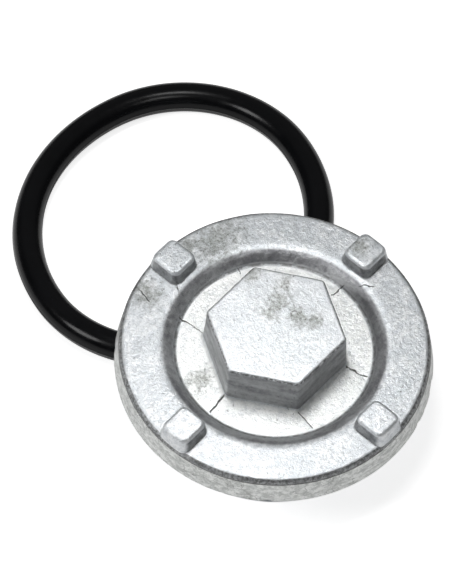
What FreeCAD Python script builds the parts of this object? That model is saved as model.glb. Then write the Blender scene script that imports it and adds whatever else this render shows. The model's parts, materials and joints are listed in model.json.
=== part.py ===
"""Oil drain plug with its sealing ring, laid down as a pair.

The plug is one die casting: a round flange with a drafted rim, four cast lugs on its top, an annular
recess round a hexagon head, and below the flange a seat shoulder and a hollow skirt with a screw thread.
The sealing ring is a separate rubber ring that lies flat and a little out of round.
The plug stands on its skirt with one side of the skirt's end on the ring, so it leans forward.

Lengths are in millimetres and angles in degrees. The plug is drawn in its own frame, with the flange's
underside at height 0 and the plug's axis upright. It is then leaned and placed beside the ring.
"""
import FreeCAD, Part
import math
import os

from FreeCAD import Vector

# flange
FLANGE_FOOT_RADIUS = 22.05
RIM_INSET = 0.55
FLANGE_THICKNESS = 4.6
RIM_ROUNDING = 0.75
SEAM_STEP = 0.07
FOOT_ROUNDING = 0.25

# annular recess in the flange's top, between the hexagon and the raised land
LAND_WIDTH = 6.15
RECESS_DEPTH = 1.5
RECESS_WALL_SLOPE = 1.1
RECESS_BROW_ROUNDING = 3.0
RECESS_FOOT_ROUNDING = 0.6

# hexagon head
HEX_ACROSS_FLATS = 17.0
HEX_HEIGHT_OVER_FLANGE = 5.5
HEX_DRAFT = 2.5
HEX_CORNER_RADIUS = 0.7
HEX_TOP_ROUNDING = 0.45
HEX_FOOT_ROUNDING = 0.5

# cast lugs on the land
LUG_COUNT = 4
LUG_WIDTH = 4.9
LUG_LENGTH = 5.4
LUG_HEIGHT = 2.4
LUG_DRAFT = 7.0
LUG_CORNER_RADIUS = 1.0
LUG_TOP_ROUNDING = 0.6

# seat shoulder, thread and hollow below the flange
THREAD_RADIUS = 18.0
THREAD_PITCH = 1.5
THREAD_FLANK = 30.0
THREAD_CHAMFER = 1.0
SHOULDER_STEP = 1.5
SHOULDER_DEPTH = 2.2
RELIEF_WIDTH = 1.0
RELIEF_CLEARANCE = 0.08
SKIRT_LENGTH = 8.5
SKIRT_WALL = 3.0
CUP_MOUTH_CHAMFER = 0.4
CUP_CORNER_RADIUS = 1.2
CUP_ROOF_THICKNESS = 3.0
POCKET_RADIUS = 6.0
POCKET_CEILING_THICKNESS = 4.1
POCKET_CORNER_RADIUS = 0.8

# sealing ring
RING_FIT_CLEARANCE = 0.2
RING_SECTION_RADIUS = 2.1
RING_OVALITY = 0.06
RING_LONG_AXIS_TURN = 51.0

# how the two lie
SKIRT_OVER_RING = 6.25
PLUG_SPIN = 23.8
CONTACT_GAP = 0.03

# turned faces start here, between two lugs and clear of the hexagon's corners
TURNING_START = 45.0
# the thread's upper end is a quarter turn on, clear of where the turned faces start
THREAD_START = TURNING_START + 90

SEAM_RADIUS = FLANGE_FOOT_RADIUS - RIM_INSET
BROW_RADIUS = SEAM_RADIUS - LAND_WIDTH
RECESS_FLOOR_RADIUS = BROW_RADIUS - RECESS_DEPTH * RECESS_WALL_SLOPE
LUG_INNER_RADIUS = SEAM_RADIUS - LUG_LENGTH
CREST_FLAT = THREAD_PITCH / 8
ROOT_FLAT = THREAD_PITCH / 6
THREAD_DEPTH = (THREAD_PITCH - CREST_FLAT - ROOT_FLAT) / 2 / math.tan(math.radians(THREAD_FLANK))
RELIEF_RADIUS = THREAD_RADIUS - THREAD_DEPTH - RELIEF_CLEARANCE
SHOULDER_RADIUS = THREAD_RADIUS + SHOULDER_STEP
SKIRT_END_RADIUS = THREAD_RADIUS - THREAD_CHAMFER
CUP_RADIUS = THREAD_RADIUS - SKIRT_WALL
CUP_MOUTH_RADIUS = CUP_RADIUS + CUP_MOUTH_CHAMFER
RING_LINE_RADIUS = SHOULDER_RADIUS + RING_FIT_CLEARANCE + RING_SECTION_RADIUS
RING_DISTANCE = SKIRT_END_RADIUS + RING_LINE_RADIUS + RING_SECTION_RADIUS - SKIRT_OVER_RING
FLOOR_HEIGHT = FLANGE_THICKNESS - RECESS_DEPTH
INSIDE_FLANGE = FLOOR_HEIGHT / 2
HEX_TOP = FLANGE_THICKNESS + HEX_HEIGHT_OVER_FLANGE
LUG_ROOT = FLANGE_THICKNESS - RECESS_DEPTH / 2
LUG_TOP = FLANGE_THICKNESS + LUG_HEIGHT
CUP_ROOF = FLOOR_HEIGHT - CUP_ROOF_THICKNESS
POCKET_CEILING = HEX_TOP - POCKET_CEILING_THICKNESS


def line(start, end):
    return Part.LineSegment(start, end).toShape()


def rounded_loop(corners):
    """A closed wire through the corners, given as (point, rounding), with a tangent arc at each rounding."""
    count = len(corners)
    joints = []
    for i, (here, radius) in enumerate(corners):
        inward = (corners[i - 1][0] - here).normalize()
        outward = (corners[(i + 1) % count][0] - here).normalize()
        if radius == 0:
            joints.append((here, None, here))
            continue
        half_turn = inward.getAngle(outward) / 2
        setback = radius / math.tan(half_turn)
        centre = here + (inward + outward).normalize() * (radius / math.sin(half_turn))
        middle = centre + (here - centre).normalize() * radius
        joints.append((here + inward * setback, middle, here + outward * setback))
    edges = []
    for i, (start, middle, end) in enumerate(joints):
        if middle:
            edges.append(Part.Arc(start, middle, end).toShape())
        edges.append(line(end, joints[(i + 1) % count][0]))
    return Part.Wire(edges)


def turned_solid(outline):
    """A solid of revolution about the plug's axis, from corners given as (radius, height, rounding)."""
    start = FreeCAD.Rotation(Vector(0, 0, 1), TURNING_START)
    corners = [(start.multVec(Vector(radius, 0, height)), rounding) for radius, height, rounding in outline]
    return Part.Face(rounded_loop(corners)).revolve(Vector(0, 0, 0), Vector(0, 0, 1), 360)


def flange_solid():
    """The flange disc: drafted rim, seam step, rounded top edge and the recess in its top."""
    seam_height = FLANGE_THICKNESS - RIM_ROUNDING
    rim_radius = SEAM_RADIUS - SEAM_STEP
    return turned_solid([
        (0, 0, 0),
        (0, FLOOR_HEIGHT, 0),
        (RECESS_FLOOR_RADIUS, FLOOR_HEIGHT, RECESS_FOOT_ROUNDING),
        (BROW_RADIUS, FLANGE_THICKNESS, RECESS_BROW_ROUNDING),
        (rim_radius, FLANGE_THICKNESS, RIM_ROUNDING),
        (rim_radius, seam_height - SEAM_STEP, 0),
        (SEAM_RADIUS, seam_height - SEAM_STEP, 0),
        (FLANGE_FOOT_RADIUS, 0, FOOT_ROUNDING),
    ])


def skirt_solid():
    """The seat shoulder, the thread relief and the threaded skirt, as a solid stub under the flange."""
    thread_start = SHOULDER_DEPTH + RELIEF_WIDTH
    return turned_solid([
        (0, INSIDE_FLANGE, 0),
        (SHOULDER_RADIUS, INSIDE_FLANGE, 0),
        (SHOULDER_RADIUS, -SHOULDER_DEPTH, 0),
        (RELIEF_RADIUS, -SHOULDER_DEPTH, 0),
        (RELIEF_RADIUS, -thread_start, 0),
        (THREAD_RADIUS, -thread_start, 0),
        (THREAD_RADIUS, THREAD_CHAMFER - SKIRT_LENGTH, 0),
        (SKIRT_END_RADIUS, -SKIRT_LENGTH, 0),
        (0, -SKIRT_LENGTH, 0),
    ])


def hollow_solid():
    """The hollow inside the skirt: the cup with a rounded roof corner, and the spring's pocket above it."""
    return turned_solid([
        (0, -SKIRT_LENGTH, 0),
        (CUP_MOUTH_RADIUS, -SKIRT_LENGTH, 0),
        (CUP_RADIUS, CUP_MOUTH_CHAMFER - SKIRT_LENGTH, 0),
        (CUP_RADIUS, CUP_ROOF, CUP_CORNER_RADIUS),
        (POCKET_RADIUS, CUP_ROOF, 0),
        (POCKET_RADIUS, POCKET_CEILING, POCKET_CORNER_RADIUS),
        (0, POCKET_CEILING, 0),
    ])


def thread_groove():
    """The right-hand screw groove between the thread's crests. It starts in the relief and runs out below."""
    beyond = 0.1
    slope = math.tan(math.radians(THREAD_FLANK))
    root_half = ROOT_FLAT / 2
    mouth_half = root_half + (THREAD_DEPTH + beyond) * slope
    top = -SHOULDER_DEPTH - mouth_half - beyond
    bottom = -SKIRT_LENGTH - mouth_half - beyond
    helix = Part.makeHelix(THREAD_PITCH, top - bottom, THREAD_RADIUS)
    helix.translate(Vector(0, 0, bottom))
    root = THREAD_RADIUS - THREAD_DEPTH
    mouth = THREAD_RADIUS + beyond
    corners = [(root, -root_half), (mouth, -mouth_half), (mouth, mouth_half), (root, root_half)]
    outline = rounded_loop([(Vector(radius, 0, bottom + rise), 0) for radius, rise in corners])
    groove = Part.Wire(helix).makePipeShell([outline], True, True)
    groove.rotate(Vector(0, 0, 0), Vector(0, 0, 1), THREAD_START - 360 * (top - bottom) / THREAD_PITCH)
    return groove


def rounded_outline(corners, rounding, height):
    """A closed level wire through the corners, given as (x, y), with every corner rounded alike."""
    return rounded_loop([(Vector(x, y, height), rounding) for x, y in corners])


def hex_wire(across_flats, height):
    reach = across_flats / math.sqrt(3)
    turns = [math.radians(60 * i) for i in range(6)]
    corners = [(reach * math.cos(turn), reach * math.sin(turn)) for turn in turns]
    return rounded_outline(corners, HEX_CORNER_RADIUS, height)


def edges_at_height(shape, height, reach=math.inf):
    """The edges that lie wholly at one height and within a reach of the axis."""
    tolerance = 1e-4
    found = []
    for edge in shape.Edges:
        box = edge.BoundBox
        level = abs(box.ZMin - height) < tolerance and abs(box.ZMax - height) < tolerance
        near = max(math.hypot(v.X, v.Y) for v in edge.Vertexes) < reach
        if level and near:
            found.append(edge)
    return found


def hex_solid():
    """The drafted hexagon, from inside the flange to its top, with the top edge rounded."""
    spread = 2 * (HEX_TOP - INSIDE_FLANGE) * math.tan(math.radians(HEX_DRAFT))
    wires = [hex_wire(HEX_ACROSS_FLATS + spread, INSIDE_FLANGE), hex_wire(HEX_ACROSS_FLATS, HEX_TOP)]
    prism = Part.makeLoft(wires, True, True)
    return prism.makeFillet(HEX_TOP_ROUNDING, edges_at_height(prism, HEX_TOP))


def lug_wire(height):
    """A lug's outline at one height. It runs out past the rim, where the rim's cone ends it."""
    shrink = (height - FLANGE_THICKNESS) * math.tan(math.radians(LUG_DRAFT))
    half_width = LUG_WIDTH / 2 - shrink
    inner = LUG_INNER_RADIUS + shrink
    outer = FLANGE_FOOT_RADIUS + LUG_WIDTH
    corners = [(inner, -half_width), (outer, -half_width), (outer, half_width), (inner, half_width)]
    return rounded_outline(corners, LUG_CORNER_RADIUS, height)


def lug_solid():
    """One cast lug, with its outer face in line with the flange's drafted rim."""
    block = Part.makeLoft([lug_wire(LUG_ROOT), lug_wire(LUG_TOP)], True, True)
    rim_run = RIM_INSET / (FLANGE_THICKNESS - RIM_ROUNDING)
    top_radius = FLANGE_FOOT_RADIUS - rim_run * LUG_TOP
    root_radius = FLANGE_FOOT_RADIUS - rim_run * LUG_ROOT
    cone = Part.makeCone(root_radius, top_radius, LUG_TOP - LUG_ROOT, Vector(0, 0, LUG_ROOT))
    cone.rotate(Vector(0, 0, 0), Vector(0, 0, 1), TURNING_START)
    lug = block.common(cone)
    sides = [e for e in lug.Edges if e.BoundBox.ZLength > LUG_HEIGHT and rim_edge(e, top_radius)]
    lug = lug.makeFillet(LUG_CORNER_RADIUS, sides)
    return lug.makeFillet(LUG_TOP_ROUNDING, edges_at_height(lug, LUG_TOP))


def rim_edge(edge, radius):
    """True for an edge whose ends both lie on the rim's cone, at or beyond the radius."""
    tolerance = 1e-3
    return min(math.hypot(v.X, v.Y) for v in edge.Vertexes) > radius - tolerance


def plug_solid():
    """The whole casting in its own frame."""
    body = flange_solid().fuse([skirt_solid(), hex_solid()])
    lug = lug_solid()
    for i in range(LUG_COUNT):
        turned = lug.copy()
        turned.rotate(Vector(0, 0, 0), Vector(0, 0, 1), 360 / LUG_COUNT * i)
        body = body.fuse(turned)
    body = body.removeSplitter()
    hex_reach = RECESS_FLOOR_RADIUS - RECESS_FOOT_ROUNDING
    body = body.makeFillet(HEX_FOOT_ROUNDING, edges_at_height(body, FLOOR_HEIGHT, hex_reach))
    return body.cut(hollow_solid()).cut(thread_groove())


def ring_arcs():
    """The ring's out-of-round centre line as four tangent arcs: (centre, radius, middle angle).

    Each arc spans a quarter turn. The end arcs' centres and the side arcs' centres lie on the two axes,
    all at the same distance from the middle.
    """
    long_half = RING_LINE_RADIUS * (1 + RING_OVALITY)
    short_half = RING_LINE_RADIUS * (1 - RING_OVALITY)
    shift = (long_half - short_half) / (2 - math.sqrt(2))
    end_radius = long_half - shift
    side_radius = short_half + shift
    arcs = []
    for i, (radius, offset) in enumerate([(end_radius, shift), (side_radius, -shift)] * 2):
        angle = RING_LONG_AXIS_TURN + 90 * i
        turn = math.radians(angle)
        centre = Vector(offset * math.cos(turn), offset * math.sin(turn) + RING_DISTANCE, RING_SECTION_RADIUS)
        arcs.append((centre, radius, angle))
    return arcs


def ring_solid():
    """The rubber ring: one quarter of a torus on each arc of the centre line."""
    pieces = []
    for centre, radius, angle in ring_arcs():
        start = math.radians(angle - 45)
        outward = Vector(math.cos(start), math.sin(start), 0)
        along = Vector(-math.sin(start), math.cos(start), 0)
        section = Part.makeCircle(RING_SECTION_RADIUS, centre + outward * radius, along)
        face = Part.Face(Part.Wire([section]))
        pieces.append(face.revolve(centre, Vector(0, 0, 1), 90))
    return pieces[0].fuse(pieces[1:])


def ring_line_points():
    """Points along the ring's centre line, a degree apart."""
    points = []
    for centre, radius, angle in ring_arcs():
        for step in range(90):
            turn = math.radians(angle - 45 + step)
            points.append(centre + Vector(radius * math.cos(turn), radius * math.sin(turn), 0))
    return points


def plug_height(lean):
    """Height of the plug's origin when the front edge of the skirt's end stands on the ground."""
    turn = math.radians(lean)
    return SKIRT_LENGTH * math.cos(turn) + SKIRT_END_RADIUS * math.sin(turn)


def in_plug_frame(point, lean):
    """A point of the ground's frame, in the frame of a plug that leans to the front by an angle."""
    turn = math.radians(lean)
    rise = point.z - plug_height(lean)
    back = point.y * math.cos(turn) + rise * math.sin(turn)
    up = rise * math.cos(turn) - point.y * math.sin(turn)
    return Vector(point.x, back, up)


def ring_clearance(lean):
    """The gap between the ring's surface and the flat end of the leaning skirt, negative if they cross."""
    gaps = []
    for point in ring_line_points():
        local = in_plug_frame(point, lean)
        radius = math.hypot(local.x, local.y)
        beside = max(0, CUP_MOUTH_RADIUS - radius, radius - SKIRT_END_RADIUS)
        below = -SKIRT_LENGTH - local.z
        gap = math.hypot(beside, below) if below > 0 else -beside
        gaps.append(gap - RING_SECTION_RADIUS)
    return min(gaps)


def resting_lean():
    """The angle at which the skirt's end just clears the ring by the contact gap, found by halving."""
    steepest = 30.0
    halvings = 40
    low, high = 0.0, steepest
    for _ in range(halvings):
        middle = (low + high) / 2
        if ring_clearance(middle) < CONTACT_GAP:
            low = middle
        else:
            high = middle
    return high


def leaned_plug():
    """The plug, spun about its axis, leaned to the front and set down beside the ring."""
    lean = resting_lean()
    plug = plug_solid()
    plug.rotate(Vector(0, 0, 0), Vector(0, 0, 1), PLUG_SPIN)
    plug.rotate(Vector(0, 0, 0), Vector(1, 0, 0), lean)
    plug.translate(Vector(0, 0, plug_height(lean)))
    return plug


def ground_origin(shapes):
    """The middle of the pair's footprint, at the ground."""
    boxes = [shape.optimalBoundingBox(False, False) for shape in shapes]
    middle_x = (min(b.XMin for b in boxes) + max(b.XMax for b in boxes)) / 2
    middle_y = (min(b.YMin for b in boxes) + max(b.YMax for b in boxes)) / 2
    return Vector(middle_x, middle_y, min(b.ZMin for b in boxes))


def parts():
    """Every piece by name, in the finished frame."""
    pieces = {"plug": leaned_plug(), "o_ring": ring_solid()}
    origin = ground_origin(pieces.values())
    for shape in pieces.values():
        shape.translate(-origin)
    return pieces


def main():
    os.makedirs("parts", exist_ok=True)
    for name, shape in parts().items():
        shape.exportStep(f"parts/{name}.step")
        print(name, "valid", shape.isValid(), "solids", len(shape.Solids), "volume", round(shape.Volume, 2))
    print("lean", round(resting_lean(), 3))


main()
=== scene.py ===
"""The looks of a cast aluminium oil drain plug and its rubber sealing ring."""

import json
import math

import bpy
import numpy as np
from mathutils import Matrix, Vector, noise

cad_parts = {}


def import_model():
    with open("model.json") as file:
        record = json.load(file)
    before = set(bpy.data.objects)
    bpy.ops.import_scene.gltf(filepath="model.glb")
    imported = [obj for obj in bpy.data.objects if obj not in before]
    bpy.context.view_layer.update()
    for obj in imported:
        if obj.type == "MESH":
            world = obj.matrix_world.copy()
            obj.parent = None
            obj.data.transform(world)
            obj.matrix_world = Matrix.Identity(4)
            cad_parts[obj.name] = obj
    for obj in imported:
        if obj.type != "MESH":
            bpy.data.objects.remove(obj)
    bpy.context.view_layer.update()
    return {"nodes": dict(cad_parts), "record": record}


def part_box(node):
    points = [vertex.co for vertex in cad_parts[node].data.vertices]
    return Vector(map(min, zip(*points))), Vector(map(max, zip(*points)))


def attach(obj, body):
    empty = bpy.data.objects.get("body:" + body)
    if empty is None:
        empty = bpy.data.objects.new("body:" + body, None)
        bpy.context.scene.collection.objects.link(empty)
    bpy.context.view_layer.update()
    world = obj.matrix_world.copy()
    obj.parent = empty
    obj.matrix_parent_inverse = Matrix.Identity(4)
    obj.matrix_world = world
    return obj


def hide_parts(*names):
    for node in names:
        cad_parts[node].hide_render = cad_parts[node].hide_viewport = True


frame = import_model()

MM = 0.001

# the plug's own frame: flange's underside at height 0, lengths in millimetres
PLUG_SPIN = math.radians(23.8)
HEX_TOP = 10.1
FLANGE_TOP = 4.6
FLANGE_RADIUS = 22.05
CUP_RADIUS = 15.4
POCKET_RADIUS = 6.1
POCKET_CEILING = 6.1

# the casting's mesh: the longest edge on cast faces, at the rim's foot and on turned faces
CAST_EDGE = 1.0
FOOT_EDGE = 0.45
ANY_LENGTH = 100.0
MOST_HALVINGS = 10
SHARP_ANGLE = math.radians(38)

# the casting's uneven skin, in millimetres: its waves, its worn stretches and the rim's nicks
WAVE_HEIGHT = 0.035
WAVE_LENGTH = 4.5
WORN_LENGTH = 14.0
NICK_DEPTH = 0.45
NICK_LENGTH = 1.6

# the sealing ring's centre line: four tangent arcs, out of round along a diagonal
RING_LINE_RADIUS = 21.8
RING_SECTION = 2.1
RING_OVALITY = 0.06
RING_LONG_AXIS = math.radians(51)

# the ring's mesh: steps along each arc and round the section, and its mould's flash line
ARC_STEPS = 60
SECTION_STEPS = 36
FLASH_HEIGHT = 0.035
FLASH_HALF_ANGLE = 0.02

# the camera stands far off and looks down along this direction
CAMERA_AT = Vector((-0.22645, -0.55426, 0.78010))
CAMERA_RIGHT = Vector((0.91065, -0.41226, -0.02758))
CAMERA_LOOK = Vector((0.23203, 0.56548, -0.79145))
CAMERA_LENS = 431.5

# where the flat faces send the camera's line of sight
MIRRORED = Vector((0.2263, 0.3141, 0.9219))

# the surroundings: pale towards MIRRORED, by the cosine of the angle to it
SKY_START = 0.45
SKY_FULL = 0.9
SKY_DARK = 0.10
SKY_BRIGHT = 0.25

# the lamps: direction from the flange, distance and size in metres, power in watts
OVERHEAD_WAY = Vector((0.0, 0.05, 1.0))
OVERHEAD_FAR = 0.5
OVERHEAD_SIZE = 0.12
OVERHEAD_POWER = 0.42
FILL_WAY = Vector((-0.80, 0.05, 0.62))
FILL_FAR = 0.4
FILL_SIZE = 0.15
FILL_POWER = 0.5
SOFTBOX_FAR = 0.08
SOFTBOX_SIZE = 0.03
SOFTBOX_POWER = 0.0175

# the softbox's target, in millimetres from the flange's middle: towards the camera, and left
SOFTBOX_NEARER = 32
SOFTBOX_LEFT = 5

# the floor: half its side in metres, its depth in millimetres, its glow to camera and mirrors
FLOOR_HALF = 3.0
FLOOR_DEPTH = 0.02
FLOOR_GLOW = 0.75
FLOOR_SHEEN = 0.35


def grey(level, tint=(1.0, 1.0, 1.0)):
    """A grey with a faint tint, as red, green, blue and alpha."""
    return (level * tint[0], level * tint[1], level * tint[2], 1.0)


# the casting's colours on its level faces, its steep faces and the rim's wall, and its dirt; the steep faces'
# and the lugs' sides' colours are painted shade, and the dirt colour also paints shade in corners, at the
# recess floor's edge and on the rim's rounding
BRIGHT_SKIN = grey(0.90, (0.98, 1.0, 1.012))
DULL_SKIN = grey(0.66, (0.945, 0.99, 1.03))
CLOUDED_SKIN = grey(0.66, (0.935, 0.99, 1.03))
GRAIN_SKIN = grey(0.34)
HEXAGON_TOP_SKIN = grey(0.78, (0.965, 0.995, 1.02))
RECESS_SKIN = grey(1.0, (0.985, 1.0, 0.985))
# painted shade: the steep faces and the lugs' sides get darker colours that stand in for their shade
SHADED_STEEP_DARK = grey(0.22, (0.97, 0.98, 1.03))
SHADED_STEEP_PALE = grey(0.50, (0.98, 1.0, 1.02))
SHADED_LUG_SIDE = grey(0.14, (1.0, 1.0, 1.02))
WALL_DARK = grey(0.50, (0.97, 1.0, 0.975))
WALL_PALE = grey(0.84, (0.985, 1.0, 0.985))
WALL_VEIN = grey(0.2)
STAIN = grey(0.27, (0.97, 1.0, 0.91))
# dirt, also used as painted shade in corners, at the recess floor's edge and on the rim's rounding
DIRT_AND_PAINTED_SHADE = grey(0.10, (1.0, 0.99, 0.95))

# the casting's shares of metal and grain, its roughness, and the reach of the shade painted in its corners
METAL = 0.65
GRAIN = 0.5
ROUGH = 0.38
DIRT_AND_SHADE_ROUGHER = 0.15
CORNER_REACH = 0.5 * MM

# the rubber
RUBBER = grey(0.0010, (0.85, 0.95, 1.3))
RUBBER_HAZE = grey(0.0028, (0.85, 0.95, 1.3))
RUBBER_SPECULAR = 0.19

# cold-flow lines round the hexagon: azimuth and radius of both ends, height, half width
FLOW_LINES = (
    (111.8, 14.7, 112.3, 12.7, 3.1, 0.09),
    (112.3, 12.7, 116.6, 10.1, 3.1, 0.07),
    (178.5, 9.9, 179.5, 13.3, 3.1, 0.10),
    (-120.2, 10.3, -115.9, 11.8, 3.1, 0.07),
    (-115.9, 11.8, -115.3, 13.2, 3.1, 0.07),
    (-62.1, 10.1, -65.7, 13.3, 3.1, 0.10),
    (0.3, 12.0, -0.9, 14.6, 3.2, 0.09),
    (63.5, 13.9, 63.1, 13.0, 3.1, 0.06),
    (107.4, 20.6, 110.4, 18.6, 4.6, 0.07),
    (101.0, 15.3, 96.0, 16.6, 4.6, 0.06),
    (-8.0, 15.2, -13.0, 16.6, 4.6, 0.06),
)

# how much a height counts in the distance to a flow line, as the faces that it runs over slope
LINE_DEPTH = 0.25

# stains: azimuth, radius, height, reach along the part's own axes
STAINS = (
    (37.6, 3.9, 10.1, (2.3, 1.5, 1.0)),
    (-22.9, 3.3, 10.1, (1.6, 2.0, 1.0)),
    (-39.1, 5.3, 10.1, (1.7, 1.3, 1.0)),
    (67.8, 1.9, 10.1, (1.1, 1.6, 1.0)),
    (64.0, 8.8, 10.1, (1.6, 1.3, 1.0)),
    (63.5, 9.3, 10.1, (1.0, 0.9, 1.0)),
    (32.4, 6.8, 10.1, (1.9, 1.2, 1.0)),
    (67.8, 18.4, 4.6, (4.5, 3.2, 1.5)),
    (79.0, 19.6, 4.6, (2.6, 1.6, 1.5)),
    (107.5, 19.4, 4.6, (2.2, 2.6, 1.5)),
    (157.6, 11.3, 3.1, (2.4, 1.8, 1.0)),
    (3.0, 18.6, 7.0, (1.6, 1.6, 1.0)),
)
STAIN_RAGGEDNESS = 3.6


def plug_frame():
    """The matrix from the plug's own frame to the scene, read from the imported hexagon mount."""
    mounts = {m["name"]: m for m in frame["record"]["mounts"]}
    axis = Vector(mounts["hexagon"]["axis"]).normalized()
    top = Vector(mounts["hexagon"]["pos_m"])
    lean = Matrix.Rotation(math.atan2(-axis.y, axis.z), 4, "X")
    spin = Matrix.Rotation(PLUG_SPIN, 4, "Z")
    return Matrix.Translation(top - axis * HEX_TOP * MM) @ lean @ spin


PLUG = plug_frame()
PLUG_AXIS = (PLUG.to_3x3() @ Vector((0, 0, 1))).normalized()


def local_points(points):
    """Points of the scene in the plug's own frame, in millimetres."""
    inverse = np.array(PLUG.inverted())
    return (points @ inverse[:3, :3].T + inverse[:3, 3]) / MM


def scene_points(points):
    """Points of the plug's own frame, in millimetres, in the scene."""
    matrix = np.array(PLUG)
    return (points * MM) @ matrix[:3, :3].T + matrix[:3, 3]


def polar(azimuth, radius, height=0.0):
    """A point of the plug's own frame from its azimuth in degrees, radius and height."""
    turn = math.radians(azimuth)
    return Vector((radius * math.cos(turn), radius * math.sin(turn), height))


def smooth_step(low, high, value):
    """0 to 1 from low to high, level at both ends."""
    t = np.clip((value - low) / (high - low), 0, 1)
    return t * t * (3 - 2 * t)


def fractal(points, scale, octaves, seed):
    """Fractal noise at points in millimetres, about -1 to 1."""
    shift = Vector((seed * 17.3, seed * 5.1, seed * 9.7))
    return np.array([noise.fractal(Vector(p) / scale + shift, 1.0, 2.0, octaves) for p in points])


def new_object(name, data):
    """A new object of the scene with the given mesh, lamp or camera."""
    piece = bpy.data.objects.new(name, data)
    bpy.context.scene.collection.objects.link(piece)
    return piece


def mesh_from(name, points, faces):
    """A new mesh from its points and faces."""
    mesh = bpy.data.meshes.new(name)
    mesh.from_pydata([tuple(p) for p in points], [], faces)
    mesh.update()
    return mesh


class Nodes:
    """Short calls for the nodes of one tree."""

    def __init__(self, tree):
        self.tree = tree

    def node(self, kind, **settings):
        made = self.tree.nodes.new(kind)
        for key, value in settings.items():
            setattr(made, key, value)
        return made

    def feed(self, socket, value):
        """Links an output to the socket, or sets the socket to a plain value."""
        if isinstance(value, bpy.types.NodeSocket):
            self.tree.links.new(value, socket)
        else:
            socket.default_value = value

    def math(self, operation, a, b, clamp=False):
        made = self.node("ShaderNodeMath", operation=operation, use_clamp=clamp)
        self.feed(made.inputs[0], a)
        self.feed(made.inputs[1], b)
        return made.outputs[0]

    def times(self, first, *factors):
        """The product of all the values."""
        for factor in factors:
            first = self.math("MULTIPLY", first, factor)
        return first

    def strongest(self, masks):
        """The greatest of several masks."""
        best = masks[0]
        for mask in masks[1:]:
            best = self.math("MAXIMUM", best, mask)
        return best

    def vector(self, operation, a, b=(0.0, 0.0, 0.0)):
        """The result of a vector operation. SCALE takes its factor as b."""
        made = self.node("ShaderNodeVectorMath", operation=operation)
        self.feed(made.inputs[0], a)
        self.feed(made.inputs["Scale" if operation == "SCALE" else 1], b)
        gives_number = operation in ("DOT_PRODUCT", "LENGTH", "DISTANCE")
        return made.outputs["Value" if gives_number else "Vector"]

    def ramp(self, value, low, high, from_value=0.0, to_value=1.0):
        """A smooth step of the value between low and high."""
        made = self.node("ShaderNodeMapRange", interpolation_type="SMOOTHSTEP")
        for socket, given in zip(made.inputs, (value, low, high, from_value, to_value)):
            self.feed(socket, given)
        return made.outputs[0]

    def fall(self, value, low, high):
        """1 below low and 0 above high."""
        return self.ramp(value, low, high, 1.0, 0.0)

    def band(self, value, low, high, soft):
        """1 between low and high, falling smoothly to 0 over the soft width at both ends."""
        return self.times(self.ramp(value, low - soft, low + soft), self.fall(value, high - soft, high + soft))

    def noise(self, coordinates, scale, detail, roughness=0.55):
        made = self.node("ShaderNodeTexNoise")
        self.feed(made.inputs["Vector"], coordinates)
        made.inputs["Scale"].default_value = scale
        made.inputs["Detail"].default_value = detail
        made.inputs["Roughness"].default_value = roughness
        return made.outputs["Fac"]

    def noise_vector(self, coordinates, scale):
        """Three noises as a vector, each about -0.5 to 0.5."""
        made = self.node("ShaderNodeTexNoise")
        self.feed(made.inputs["Vector"], coordinates)
        made.inputs["Scale"].default_value = scale
        return self.vector("SUBTRACT", made.outputs["Color"], (0.5, 0.5, 0.5))

    def cell_edges(self, coordinates, scale):
        """The distance to the nearest edge between irregular cells."""
        made = self.node("ShaderNodeTexVoronoi", feature="DISTANCE_TO_EDGE")
        self.feed(made.inputs["Vector"], coordinates)
        made.inputs["Scale"].default_value = scale
        return made.outputs["Distance"]

    def mix(self, amount, a, b):
        """A colour between a and b."""
        made = self.node("ShaderNodeMix", data_type="RGBA")
        self.feed(made.inputs["Factor"], amount)
        self.feed(made.inputs["A"], a)
        self.feed(made.inputs["B"], b)
        return made.outputs["Result"]

    def bump(self, height, strength, distance):
        """A normal tilted by the height."""
        made = self.node("ShaderNodeBump")
        made.inputs["Strength"].default_value = strength
        made.inputs["Distance"].default_value = distance
        self.feed(made.inputs["Height"], height)
        return made.outputs["Normal"]


class Shader(Nodes):
    """A new material and its nodes."""

    def __init__(self, name):
        self.material = bpy.data.materials.new(name)
        self.material.use_nodes = True
        super().__init__(self.material.node_tree)
        self.surface = self.tree.nodes["Principled BSDF"]

    def set(self, name, value):
        """Links or sets an input of the surface."""
        self.feed(self.surface.inputs[name], value)


class CastingShader(Shader):
    """The casting's material, with the measures and noises that its colours share."""

    def __init__(self):
        super().__init__("cast_aluminium")
        self.at = self.plug_coordinates()
        parts = self.node("ShaderNodeSeparateXYZ")
        self.feed(parts.inputs[0], self.at)
        self.height = parts.outputs["Z"]
        self.reach = self.vector("LENGTH", self.vector("MULTIPLY", self.at, (1.0, 1.0, 0.0)))
        self.cloud = self.noise(self.at, 0.22, 3.0)
        self.mottle = self.noise(self.at, 1.15, 5.0, 0.72)
        self.grain = self.noise(self.at, 3.2, 3.0, 0.7)
        self.speckle = self.noise(self.at, 2.2, 2.0, 0.8)
        self.warped = self.vector("ADD", self.at, self.noise_vector(self.at, 0.9))

    def plug_coordinates(self):
        """The point in the plug's own frame, in millimetres."""
        place, turn, _ = PLUG.decompose()
        made = self.node("ShaderNodeMapping", vector_type="TEXTURE")
        self.feed(made.inputs["Vector"], self.node("ShaderNodeTexCoord").outputs["Object"])
        made.inputs["Location"].default_value = place
        made.inputs["Rotation"].default_value = turn.to_euler("XYZ")
        made.inputs["Scale"].default_value = (MM, MM, MM)
        return made.outputs["Vector"]


def spot(s, centre, size):
    """A ragged stain: 1 at its centre, 0 outside it. The size is its reach along each axis."""
    offset = s.vector("SUBTRACT", s.at, centre)
    reach = s.vector("LENGTH", s.vector("DIVIDE", offset, size))
    wander = s.times(s.math("SUBTRACT", s.mottle, 0.5), STAIN_RAGGEDNESS)
    return s.fall(s.math("ADD", reach, wander), 0.1, 1.35)


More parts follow.
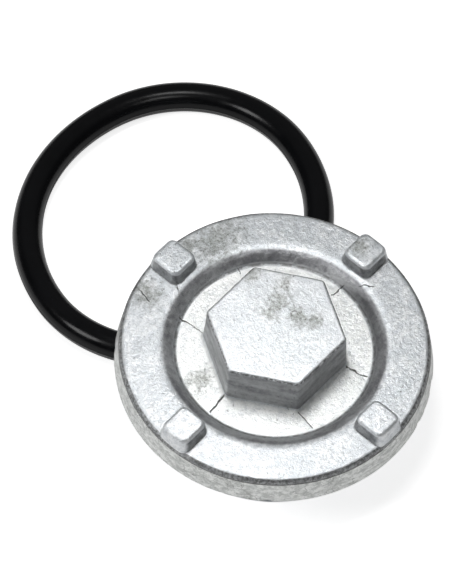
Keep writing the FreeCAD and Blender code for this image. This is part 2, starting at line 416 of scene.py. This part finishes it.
def hairline(s, at, start, end, half_width):
    """1 on a straight thin line between two points, 0 a little away from it."""
    span = end - start
    from_start = s.vector("SUBTRACT", at, start)
    along = s.math("DIVIDE", s.vector("DOT_PRODUCT", from_start, span), span.length_squared, True)
    away = s.vector("DISTANCE", from_start, s.vector("SCALE", span, along))
    return s.fall(away, half_width * 0.5, half_width * 1.5)


def level_faces(s):
    """The mottled colour of the flange, the hexagon's top and the recess floor."""
    colour = s.mix(s.ramp(s.mottle, 0.36, 0.64), DULL_SKIN, BRIGHT_SKIN)
    colour = s.mix(s.times(s.ramp(s.cloud, 0.40, 0.62), 0.6), colour, CLOUDED_SKIN)
    colour = s.mix(s.times(s.ramp(s.grain, 0.52, 0.72), GRAIN), colour, GRAIN_SKIN)
    on_top = s.times(s.ramp(s.height, 9.9, 10.0), 0.45)
    colour = s.mix(on_top, colour, HEXAGON_TOP_SKIN)
    on_floor = s.times(s.fall(s.reach, 13.2, 13.7), s.fall(s.height, 3.3, 3.5))
    return s.mix(s.times(on_floor, s.ramp(s.mottle, 0.3, 0.6, 0.45, 0.9)), colour, RECESS_SKIN)


def steep_faces(s, colour):
    """Adds the sides of the hexagon, the recess and the lugs: streaky, and darker as painted shade."""
    bands = s.noise(s.vector("MULTIPLY", s.at, (0.14, 0.14, 0.75)), 1.0, 2.0, 0.5)
    streaks = s.math("ADD", s.times(bands, 0.55), s.times(s.mottle, 0.45))
    on_hexagon = s.times(s.band(s.height, 3.75, 9.75, 0.12), s.fall(s.reach, 11.4, 11.6))
    on_slope = s.times(s.band(s.height, 3.35, 4.45, 0.15), s.band(s.reach, 13.3, 15.6, 0.3))
    # painted shade: the steep faces are darkened, with real streaks through them
    shaded_streaks = s.mix(s.ramp(streaks, 0.36, 0.64), SHADED_STEEP_DARK, SHADED_STEEP_PALE)
    colour = s.mix(s.math("MAXIMUM", on_hexagon, on_slope), colour, shaded_streaks)
    # painted shade: the lugs' sides are painted nearly black
    on_lug = s.times(s.band(s.height, 4.75, 6.45, 0.12), s.band(s.reach, 15.8, 20.6, 0.3))
    return s.mix(s.times(on_lug, s.ramp(s.mottle, 0.3, 0.65, 0.95, 0.6)), colour, SHADED_LUG_SIDE)


def rim_wall(s, colour):
    """Adds the rim's wall below the parting step, with its dark veins."""
    on_wall = s.times(s.ramp(s.reach, 21.2, 21.4), s.fall(s.height, 3.80, 3.86))
    drawn = s.noise(s.vector("MULTIPLY", s.at, (0.7, 0.7, 1.2)), 1.2, 5.0, 0.8)
    wall = s.mix(s.ramp(drawn, 0.38, 0.62), WALL_DARK, WALL_PALE)
    edges = s.cell_edges(s.warped, 0.55)
    vein = s.times(s.fall(edges, 0.01, 0.03), s.ramp(s.cloud, 0.46, 0.58), 0.5)
    return s.mix(on_wall, colour, s.mix(vein, wall, WALL_VEIN))


def stains(s):
    """1 where the casting is stained, 0 elsewhere."""
    spots = [spot(s, polar(turn, out, up), size) for turn, out, up, size in STAINS]
    return s.times(s.strongest(spots), s.ramp(s.speckle, 0.3, 0.7, 0.3, 0.95))


def flow_lines(s):
    """1 on the cold-flow lines, 0 elsewhere."""
    low = s.vector("MULTIPLY", s.warped, (1.0, 1.0, LINE_DEPTH))
    lines = [hairline(s, low, polar(a, r, up * LINE_DEPTH), polar(b, q, up * LINE_DEPTH), half)
             for a, r, b, q, up, half in FLOW_LINES]
    return s.times(s.strongest(lines), s.ramp(s.grain, 0.25, 0.5, 0.5, 1.0))


def dark_marks_and_painted_shade(s):
    """1 in the specks, on the seam and along the hexagon's top edges, and in painted shade in corners, at the
    recess floor's edge and on the rim's rounding; 0 elsewhere.
    """
    # painted shade along the rim's rounding, broken up by speckle
    on_rounding = s.times(s.ramp(s.reach, 20.75, 21.0), s.band(s.height, 3.86, 4.52, 0.03))
    rounding_shade = s.times(on_rounding, s.ramp(s.speckle, 0.3, 0.65, 0.4, 0.9))
    flecks = s.times(s.ramp(s.speckle, 0.63, 0.70), s.ramp(s.cloud, 0.4, 0.62, 0.2, 0.7))
    seam = s.times(s.band(s.height, 3.72, 3.83, 0.02), s.ramp(s.reach, 21.0, 21.2),
                   s.ramp(s.mottle, 0.3, 0.6, 0.1, 0.6))
    # painted shade: darker in concave corners, by ambient occlusion
    corner = s.node("ShaderNodeAmbientOcclusion", only_local=True, samples=8)
    corner.inputs["Distance"].default_value = CORNER_REACH
    crevice_shade = s.times(s.fall(corner.outputs["AO"], 0.5, 0.88), s.ramp(s.grain, 0.2, 0.6, 0.6, 1.0))
    apothems = [s.vector("DOT_PRODUCT", s.at, polar(30 + 60 * k, 1.0)) for k in range(6)]
    hexagon_edge = s.times(s.ramp(s.strongest(apothems), 8.2, 8.4), s.band(s.height, 9.7, 10.02, 0.06),
                           s.ramp(s.speckle, 0.35, 0.6, 0.0, 0.85))
    # painted shade: a dark line where the recess floor meets its wall
    recess_foot_shade = s.times(s.band(s.reach, 13.5, 13.95, 0.12), s.fall(s.height, 3.5, 3.7),
                          s.ramp(s.mottle, 0.3, 0.6, 0.25, 0.8))
    return s.strongest([rounding_shade, flecks, seam, crevice_shade, hexagon_edge, recess_foot_shade])


def cast_aluminium():
    """Die-cast aluminium: matt uneven skin, grey mottling, specks, flow lines and a few stains, with painted
    shade on its steep faces, in its corners and on the rim's rounding.
    """
    s = CastingShader()
    stained = stains(s)
    lines = flow_lines(s)
    dark = s.math("MAXIMUM", dark_marks_and_painted_shade(s), lines)
    colour = rim_wall(s, steep_faces(s, level_faces(s)))
    # the dark mix holds real specks, seam and flow lines together with painted shade
    s.set("Base Color", s.mix(dark, s.mix(stained, colour, STAIN), DIRT_AND_PAINTED_SHADE))
    s.set("Metallic", METAL)
    rough = s.ramp(s.mottle, 0.3, 0.7, ROUGH - 0.05, ROUGH + 0.05)
    # rougher where stained, marked, or painted as shade
    stains_marks_and_shade = s.math("MAXIMUM", dark, stained)
    s.set("Roughness", s.math("ADD", rough, s.times(stains_marks_and_shade, DIRT_AND_SHADE_ROUGHER)))
    relief = s.math("ADD", s.times(s.grain, 0.3), s.mottle)
    relief = s.math("SUBTRACT", relief, s.times(lines, 0.6))
    s.set("Normal", s.bump(relief, 0.8, 0.16 * MM))
    return s.material


def black_rubber():
    """Smooth moulded rubber with a faint haze."""
    s = Shader("black_rubber")
    at = s.node("ShaderNodeTexCoord").outputs["Object"]
    haze = s.noise(at, 350.0, 4.0, 0.6)
    s.set("Base Color", s.mix(haze, RUBBER, RUBBER_HAZE))
    s.set("Roughness", s.ramp(haze, 0.3, 0.7, 0.17, 0.27))
    s.set("Specular IOR Level", RUBBER_SPECULAR)
    s.set("Normal", s.bump(s.noise(at, 1500.0, 3.0), 0.15, 0.05 * MM))
    return s.material


def welded(mesh):
    """A mesh's points in millimetres of the plug's own frame, each once, and its true triangles."""
    mesh.calc_loop_triangles()
    points = np.empty(len(mesh.vertices) * 3)
    mesh.vertices.foreach_get("co", points)
    corners = np.empty(len(mesh.loop_triangles) * 3, dtype=np.int32)
    mesh.loop_triangles.foreach_get("vertices", corners)
    rounded = local_points(points.reshape(-1, 3)).round(3)
    points, place = np.unique(rounded, axis=0, return_inverse=True)
    triangles = place.reshape(-1)[corners].reshape(-1, 3)
    a, b, c = triangles.T
    return points, triangles[(a != b) & (b != c) & (c != a)]


def longest_wanted(points):
    """The longest edge wanted at each point: fine at the rim's foot, any in the cup and below the flange."""
    reach = np.hypot(points[:, 0], points[:, 1])
    height = points[:, 2]
    foot = (reach > FLANGE_RADIUS - 1.1) & (height < 1.9)
    in_cup = (reach < CUP_RADIUS) & (height < 0.3)
    in_pocket = (reach < POCKET_RADIUS) & (height < POCKET_CEILING)
    turned = in_cup | in_pocket | (height < -0.05)
    return np.where(turned, ANY_LENGTH, np.where(foot, FOOT_EDGE, CAST_EDGE))


def split_once(points, triangles, new_at):
    """Splits triangles at their edges' middles. new_at gives each edge's new point, or -1."""
    count = (new_at >= 0).sum(axis=1)
    kept = [triangles[count == 0]]
    turn = np.where(count == 1, np.argmax(new_at >= 0, axis=1), (np.argmin(new_at, axis=1) + 1) % 3)
    order = (turn[:, None] + np.arange(3)) % 3
    a, b, c = np.take_along_axis(triangles, order, axis=1).T
    ab, bc, ca = np.take_along_axis(new_at, order, axis=1).T
    one, two, three = count == 1, count == 2, count == 3
    across = np.linalg.norm(points[a] - points[bc], axis=1) < np.linalg.norm(points[ab] - points[c], axis=1)
    for chosen, corners in ((one, (a, ab, c)), (one, (ab, b, c)), (two, (ab, b, bc)), (three, (a, ab, ca)),
                            (three, (ab, b, bc)), (three, (ca, bc, c)), (three, (ab, bc, ca)),
                            (two & across, (a, ab, bc)), (two & across, (a, bc, c)),
                            (two & ~across, (a, ab, c)), (two & ~across, (ab, bc, c))):
        kept.append(np.stack(corners, axis=1)[chosen])
    return np.concatenate(kept)


def refined(points, triangles):
    """The mesh with each edge halved until none is longer than is wanted there."""
    for _ in range(MOST_HALVINGS):
        ends = np.stack([triangles, np.roll(triangles, -1, axis=1)], axis=2).reshape(-1, 2)
        edges, place = np.unique(np.sort(ends, axis=1), axis=0, return_inverse=True)
        middles = points[edges].mean(axis=1)
        long = np.linalg.norm(points[edges[:, 0]] - points[edges[:, 1]], axis=1) > longest_wanted(middles)
        if not long.any():
            break
        numbers = np.where(long, np.cumsum(long) - 1 + len(points), -1)
        points = np.concatenate([points, middles[long]])
        triangles = split_once(points, triangles, numbers[place.reshape(-1)].reshape(-1, 3))
    return points, triangles


def point_normals(points, triangles):
    """Each point's normal, as the mean of its triangles' by their areas."""
    a, b, c = (points[triangles[:, k]] for k in range(3))
    faces = np.cross(b - a, c - a)
    normals = np.zeros_like(points)
    for k in range(3):
        np.add.at(normals, triangles[:, k], faces)
    return normals / np.maximum(np.linalg.norm(normals, axis=1), 1e-12)[:, None]


def rough_skin(local, normals):
    """The casting's points, in its own frame, moved by its waves and by the nicks at the rim's foot."""
    reach = np.hypot(local[:, 0], local[:, 1])
    height = local[:, 2]
    cast = smooth_step(0.0, 0.5, height) * (1 - (reach < CUP_RADIUS) * (height < 0.3))
    wave = WAVE_HEIGHT * fractal(local, WAVE_LENGTH, 3, 1)
    moved = local + normals * (wave * cast)[:, None]
    foot = (reach > FLANGE_RADIUS - 0.8) * smooth_step(1.5, 0.1, height) * (height > -0.1)
    worn = smooth_step(-0.25, 0.35, fractal(local, WORN_LENGTH, 1, 5))
    nick = np.maximum(0, fractal(local, NICK_LENGTH, 3, 3) - 0.1) * NICK_DEPTH * worn
    inward = -local[:, :2] / np.maximum(reach, 1e-6)[:, None]
    moved[:, :2] += inward * (nick * foot)[:, None]
    return moved


def casting():
    """The plug's own mesh, denser where it is cast, with the uneven skin of a die casting."""
    points, triangles = refined(*welded(frame["nodes"]["plug"].data))
    moved = rough_skin(points, point_normals(points, triangles))
    mesh = mesh_from("plug_casting", scene_points(moved), triangles.tolist())
    mesh.shade_smooth()
    mesh.set_sharp_from_angle(angle=SHARP_ANGLE)
    return new_object("plug_casting", mesh)


def ring_arcs():
    """The ring's centre line as four tangent arcs: (centre, radius, middle angle), in millimetres."""
    low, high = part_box("o_ring")
    middle = (Vector(low) + Vector(high)) / 2 / MM
    long_half = RING_LINE_RADIUS * (1 + RING_OVALITY)
    short_half = RING_LINE_RADIUS * (1 - RING_OVALITY)
    shift = (long_half - short_half) / (2 - math.sqrt(2))
    arcs = []
    for i, (radius, offset) in enumerate([(long_half - shift, shift), (short_half + shift, -shift)] * 2):
        turn = RING_LONG_AXIS + math.pi / 2 * i
        centre = middle + Vector((offset * math.cos(turn), offset * math.sin(turn), 0))
        arcs.append((centre, radius, turn))
    return arcs


def seal_ring():
    """The rubber ring, with the fine flash line of its mould on the outside and the inside."""
    section = [2 * math.pi * k / SECTION_STEPS for k in range(SECTION_STEPS)]
    for line in (0, math.pi):
        section += [line - FLASH_HALF_ANGLE, line + FLASH_HALF_ANGLE]
    section.sort()
    points = []
    for centre, radius, turn in ring_arcs():
        for step in range(ARC_STEPS):
            angle = turn - math.pi / 4 + math.pi / 2 * step / ARC_STEPS
            outward = Vector((math.cos(angle), math.sin(angle), 0))
            for phi in section:
                on_line = abs(math.sin(phi)) < 1e-6
                reach = RING_SECTION + (FLASH_HEIGHT if on_line else 0.0)
                points.append((centre + outward * (radius + reach * math.cos(phi))
                               + Vector((0, 0, reach * math.sin(phi)))) * MM)
    rows, cols = ARC_STEPS * 4, len(section)
    faces = []
    for i in range(rows):
        for k in range(cols):
            j, m = (i + 1) % rows, (k + 1) % cols
            faces.append((i * cols + k, j * cols + k, j * cols + m, i * cols + m))
    mesh = mesh_from("seal_ring", points, faces)
    mesh.shade_smooth()
    return new_object("seal_ring", mesh)


def floor():
    """A pale floor that the camera sees as white, apart from the object's shadow on it."""
    corners = [(x * FLOOR_HALF, y * FLOOR_HALF, 0) for x, y in ((-1, -1), (1, -1), (1, 1), (-1, 1))]
    mesh = mesh_from("floor", corners, [(0, 1, 2, 3)])
    s = Shader("floor")
    s.set("Base Color", grey(0.8))
    s.set("Roughness", 0.9)
    s.set("Specular IOR Level", 0.0)
    s.set("Emission Color", grey(1.0))
    path = s.node("ShaderNodeLightPath").outputs
    s.set("Emission Strength", s.math("ADD", s.times(path["Is Camera Ray"], FLOOR_GLOW),
                                      s.times(path["Is Glossy Ray"], FLOOR_SHEEN)))
    mesh.materials.append(s.material)
    plane = new_object("floor", mesh)
    plane.location.z = -FLOOR_DEPTH * MM


def world():
    """Soft surroundings: pale overhead, darker low down and on the camera's side."""
    made = bpy.data.worlds.new("surroundings")
    made.use_nodes = True
    s = Nodes(made.node_tree)
    s.tree.nodes.clear()
    way = s.node("ShaderNodeTexCoord").outputs["Generated"]
    bright = s.ramp(s.vector("DOT_PRODUCT", way, MIRRORED), SKY_START, SKY_FULL)
    background = s.node("ShaderNodeBackground")
    s.feed(background.inputs["Color"], s.mix(bright, grey(SKY_DARK), grey(SKY_BRIGHT)))
    background.inputs["Strength"].default_value = 1.0
    s.feed(s.node("ShaderNodeOutputWorld").inputs["Surface"], background.outputs[0])
    bpy.context.scene.world = made


def area_lamp(name, target, direction, distance, size, power):
    """A round lamp that shines at the target from the given direction and distance."""
    lamp = bpy.data.lights.new(name, "AREA")
    lamp.shape = "DISK"
    lamp.size = size
    lamp.energy = power
    made = new_object(name, lamp)
    made.location = target + direction * distance
    made.rotation_mode = "QUATERNION"
    made.rotation_quaternion = direction.to_track_quat("Z", "Y")


def lights():
    """A soft lamp overhead, one from the left, and a small one above the near side of the flange."""
    middle = PLUG @ (Vector((0, 0, FLANGE_TOP)) * MM)
    area_lamp("overhead", middle, OVERHEAD_WAY.normalized(), OVERHEAD_FAR, OVERHEAD_SIZE, OVERHEAD_POWER)
    away = CAMERA_LOOK - PLUG_AXIS * CAMERA_LOOK.dot(PLUG_AXIS)
    near_edge = middle - away.normalized() * SOFTBOX_NEARER * MM - CAMERA_RIGHT * SOFTBOX_LEFT * MM
    area_lamp("softbox", near_edge, MIRRORED, SOFTBOX_FAR, SOFTBOX_SIZE, SOFTBOX_POWER)
    area_lamp("fill", middle, FILL_WAY.normalized(), FILL_FAR, FILL_SIZE, FILL_POWER)


def camera():
    """The photo's camera, with a long lens."""
    data = bpy.data.cameras.new("camera")
    data.lens = CAMERA_LENS
    data.sensor_width = 36
    data.clip_start = 0.01
    data.clip_end = 10
    made = new_object("camera", data)
    up = CAMERA_RIGHT.cross(CAMERA_LOOK)
    axes = Matrix((CAMERA_RIGHT, up, -CAMERA_LOOK)).transposed().to_4x4()
    made.matrix_world = Matrix.Translation(CAMERA_AT) @ axes
    bpy.context.scene.camera = made


def dress(piece, material, node):
    """Gives a piece its material, the body it rides on and the node it stands for."""
    piece.data.materials.clear()
    piece.data.materials.append(material)
    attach(piece, "root")
    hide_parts(node)


def main():
    aluminium = cast_aluminium()
    dress(casting(), aluminium, "plug")
    dress(seal_ring(), black_rubber(), "o_ring")
    floor()
    world()
    lights()
    camera()
    bpy.context.scene.view_settings.view_transform = "Standard"


main()
